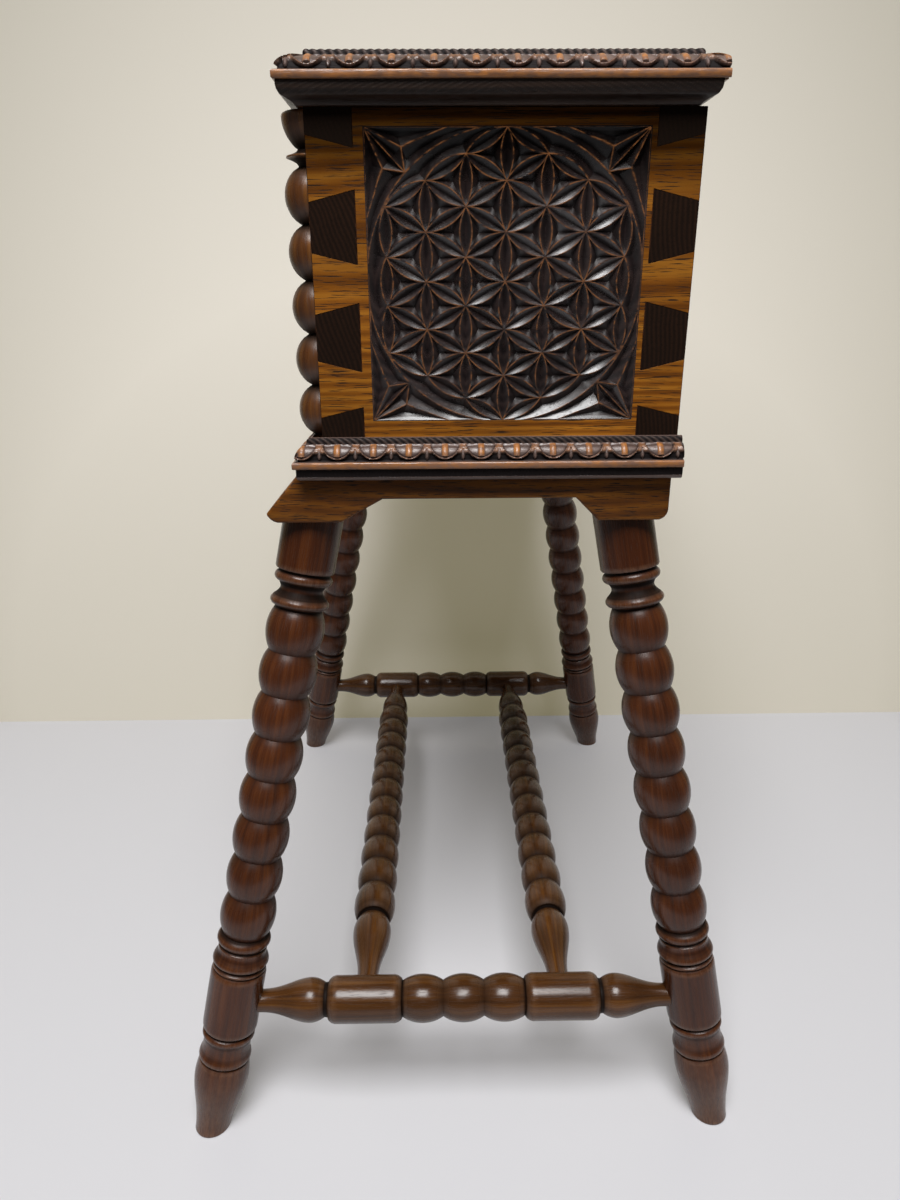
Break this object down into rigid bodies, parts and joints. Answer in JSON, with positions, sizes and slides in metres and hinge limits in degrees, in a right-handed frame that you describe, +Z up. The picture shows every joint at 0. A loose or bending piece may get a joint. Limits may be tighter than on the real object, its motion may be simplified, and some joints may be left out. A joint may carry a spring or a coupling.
{
  "type": "sewing cabinet",
  "caption": "Small dovetailed wooden chest with a hinged lid and a sliding tray inside, standing on splayed bobbin-turned legs with turned stretchers.",
  "frame": {"origin": "on the floor, in the middle of the four feet", "axes": "+Z up, -Y towards the front with the half columns, +X towards the right end as seen from the front"},
  "size_m": [0.5854, 0.407, 0.714],
  "materials": {
    "turned_walnut": "turned reddish brown wood, satin polish, darker in the grooves",
    "turned_stretcher": "turned mid-brown wood, satin polish",
    "rail_oak": "sawn orange-brown oak with dark pores, worn wax",
    "box_oak": "golden brown oak boards with dark grain and nearly black carving, waxed",
    "lid_oak": "brown oak board, waxed",
    "carved_moulding": "carved brown moulding with rubbed orange edges, waxed",
    "dark_cove": "nearly black moulding, waxed",
    "half_column_wood": "turned dark brown wood, polished",
    "inside_wood": "plain unpolished wood",
    "hinge_brass": "dull old brass",
    "screw_steel": "dark old steel"
  },
  "bodies": {
    "cabinet": {"leg_front_left": "turned_walnut", "leg_front_right": "turned_walnut", "leg_back_left": "turned_walnut", "leg_back_right": "turned_walnut", "end_rail_left": "rail_oak", "end_rail_right": "rail_oak", "end_stretcher_left": "turned_stretcher", "end_stretcher_right": "turned_stretcher", "long_stretcher_front": "turned_stretcher", "long_stretcher_back": "turned_stretcher", "rail_screws": "screw_steel", "base_board": "carved_moulding", "base_moulding_front": "carved_moulding", "base_moulding_left": "carved_moulding", "base_moulding_right": "carved_moulding", "base_screws": "screw_steel", "front_board": "box_oak", "back_board": "box_oak", "end_board_left": "box_oak", "end_board_right": "box_oak", "half_column_left": "half_column_wood", "half_column_centre": "half_column_wood", "half_column_right": "half_column_wood", "tray_runner_front": "inside_wood", "tray_runner_back": "inside_wood", "hinge_box_leaf_left": "hinge_brass", "hinge_box_leaf_right": "hinge_brass", "hinge_pin_left": "hinge_brass", "hinge_pin_right": "hinge_brass", "hinge_screws_box": "hinge_brass"},
    "lid": {"lid_board": "lid_oak", "lid_moulding_front": "carved_moulding", "lid_moulding_left": "carved_moulding", "lid_moulding_right": "carved_moulding", "lid_moulding_back": "carved_moulding", "lid_cove_front": "dark_cove", "lid_cove_left": "dark_cove", "lid_cove_right": "dark_cove", "lid_cove_back": "dark_cove", "hinge_lid_leaf_left": "hinge_brass", "hinge_lid_leaf_right": "hinge_brass", "hinge_screws_lid": "hinge_brass"},
    "tray": {"tray_bottom": "inside_wood", "tray_front": "inside_wood", "tray_back": "inside_wood", "tray_left": "inside_wood", "tray_right": "inside_wood", "tray_divider_long": "inside_wood", "tray_divider_front": "inside_wood", "tray_divider_back": "inside_wood"}
  },
  "joints": [
    {"name": "lid_hinge", "type": "hinge", "parent": "cabinet", "child": "lid", "pos_m": [0, 0.13775, 0.6888], "axis": [-1, 0, 0], "range_deg": [0, 100]},
    {"name": "tray_slide", "type": "slide", "parent": "cabinet", "child": "tray", "axis": [1, 0, 0], "range_m": [0, 0.1917]}
  ]
}
